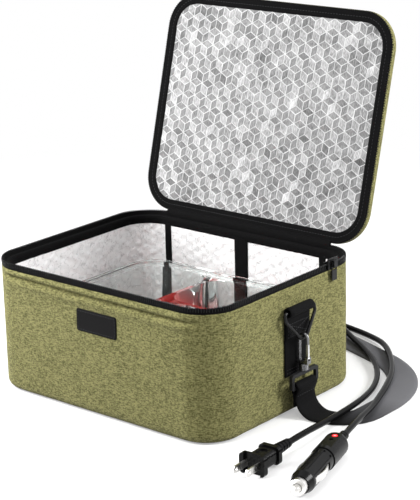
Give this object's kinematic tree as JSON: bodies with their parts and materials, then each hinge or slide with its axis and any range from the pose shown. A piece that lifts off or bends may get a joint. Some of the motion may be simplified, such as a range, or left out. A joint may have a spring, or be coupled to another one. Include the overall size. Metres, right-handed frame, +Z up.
{
  "type": "electric lunch box",
  "caption": "Zipped insulated bag with a hinged foil-lined lid, heating plate with mains and car leads, glass compartment dish and shoulder strap.",
  "frame": {"origin": "middle of the bag's footprint, on the surface that it stands on", "axes": "+Z up, -Y the front with the label patch, +X the right side, lid hinge at the back (+Y)"},
  "size_m": [0.4598, 0.3616, 0.3297],
  "materials": {
    "green_fabric": "olive heather woven polyester",
    "foil_lining": "silver foil laminate, crinkled",
    "black_binding": "black woven tape",
    "insulation_foam": "white closed-cell foam",
    "zip_teeth": "black moulded teeth",
    "stiffener_board": "plain sheet",
    "black_metal": "black plated, satin",
    "strap_webbing": "dark grey webbing",
    "buckle_plastic": "black moulded",
    "plate_casing_plastic": "charcoal, fine grain",
    "plate_top_metal": "grey coated, warm red in use",
    "heater_mica": "mica sheet",
    "heater_alloy": "resistance ribbon",
    "felt": "mineral felt",
    "steel": "plain",
    "foot_rubber": "soft",
    "socket_plastic": "black moulded",
    "contact_metal": "nickel plated",
    "clear_glass": "clear",
    "cord_plastic": "black moulded, satin",
    "red_lamp": "red lens"
  },
  "bodies": {
    "bag": {"bag_wall_fabric": "green_fabric", "bag_base_fabric": "green_fabric", "bag_liner": "foil_lining", "rim_binding": "black_binding", "bag_zip_tape": "black_binding", "hinge_tape": "black_binding", "label_patch": "black_binding", "liner_bands": "black_binding", "side_tab_left": "black_binding", "side_tab_right": "black_binding", "bag_insulation": "insulation_foam", "bag_zip_chain": "zip_teeth", "base_board": "stiffener_board", "tab_ring_left": "black_metal", "tab_ring_right": "black_metal", "snap_hook_left": "black_metal", "snap_hook_right": "black_metal", "shoulder_strap": "strap_webbing", "strap_buckle_left": "buckle_plastic", "strap_buckle_right": "buckle_plastic", "strap_adjuster": "buckle_plastic", "ac_plug_blades": "contact_metal", "car_plug_nut": "contact_metal", "car_plug_fuse": "clear_glass", "ac_cord": "cord_plastic", "ac_cord_coil": "cord_plastic", "car_cord": "cord_plastic", "car_cord_coil": "cord_plastic", "ac_plug_body": "cord_plastic", "ac_connector": "cord_plastic", "car_plug_body": "cord_plastic", "dc_connector": "cord_plastic", "car_plug_lamp": "red_lamp"},
    "lid": {"lid_outer_shell": "green_fabric", "lid_insulation": "insulation_foam", "lid_liner": "foil_lining", "lid_zip_tape": "black_binding", "lid_zip_chain": "zip_teeth", "lid_hinge_tape": "black_binding"},
    "heating_plate": {"plate_cover": "plate_top_metal", "plate_housing": "plate_casing_plastic", "heater_mica": "heater_mica", "ac_heater_wire": "heater_alloy", "dc_heater_wire": "heater_alloy", "plate_felt": "felt", "thermostat": "steel", "ac_inlet": "socket_plastic", "ac_inlet_pins": "contact_metal", "dc_jack": "socket_plastic", "dc_jack_pin": "contact_metal", "housing_screws": "steel", "foot_pads": "foot_rubber"},
    "glass_dish": {"glass_dish": "clear_glass"},
    "zip_slider": {"zip_slider": "black_metal"},
    "zip_pull": {"zip_pull": "black_metal"},
    "hook_gate_right": {"hook_gate_right": "black_metal"},
    "hook_gate_left": {"hook_gate_left": "black_metal"},
    "car_plug_tip": {"car_plug_tip": "contact_metal"},
    "car_plug_clip_left": {"car_plug_clip_left": "contact_metal"},
    "car_plug_clip_right": {"car_plug_clip_right": "contact_metal"}
  },
  "joints": [
    {"name": "lid_hinge", "type": "hinge", "parent": "bag", "child": "lid", "pos_m": [0, 0.107, 0.1235], "axis": [-1, 0, 0], "range_deg": [-105, 65]},
    {"name": "heating_plate_lift", "type": "slide", "parent": "bag", "child": "heating_plate", "axis": [0, 0, 1], "range_m": [0, 0.16]},
    {"name": "dish_lift", "type": "slide", "parent": "heating_plate", "child": "glass_dish", "axis": [0, 0, 1], "range_m": [0, 0.13]},
    {"name": "zip_slider_travel", "type": "slide", "parent": "bag", "child": "zip_slider", "axis": [0, -1, 0], "range_m": [0, 0.124]},
    {"name": "zip_pull_flip", "type": "hinge", "parent": "zip_slider", "child": "zip_pull", "pos_m": [0.13525, 0.062, 0.12365], "axis": [0, -1, 0], "range_deg": [0, 170]},
    {"name": "hook_gate_right_press", "type": "hinge", "parent": "bag", "child": "hook_gate_right", "pos_m": [0.1459, 0.008, 0.05137], "axis": [0, -1, 0], "range_deg": [0, 20], "stiffness_Nm_per_rad": 0.05},
    {"name": "hook_gate_left_press", "type": "hinge", "parent": "bag", "child": "hook_gate_left", "pos_m": [-0.1459, 0.008, 0.05137], "axis": [0, 1, 0], "range_deg": [0, 20], "stiffness_Nm_per_rad": 0.05},
    {"name": "car_plug_tip_press", "type": "slide", "parent": "bag", "child": "car_plug_tip", "axis": [-0.2823, 0.9593, 0], "range_m": [0, 0.004], "stiffness_N_per_m": 400},
    {"name": "car_plug_clip_left_press", "type": "hinge", "parent": "bag", "child": "car_plug_clip_left", "pos_m": [0.24774, -0.11943, 0.01075], "axis": [0, 0, 1], "range_deg": [0, 4], "stiffness_Nm_per_rad": 0.5},
    {"name": "car_plug_clip_right_press", "type": "hinge", "parent": "bag", "child": "car_plug_clip_right", "pos_m": [0.2321, -0.12404, 0.01075], "axis": [0, 0, -1], "range_deg": [0, 4], "stiffness_Nm_per_rad": 0.5}
  ]
}
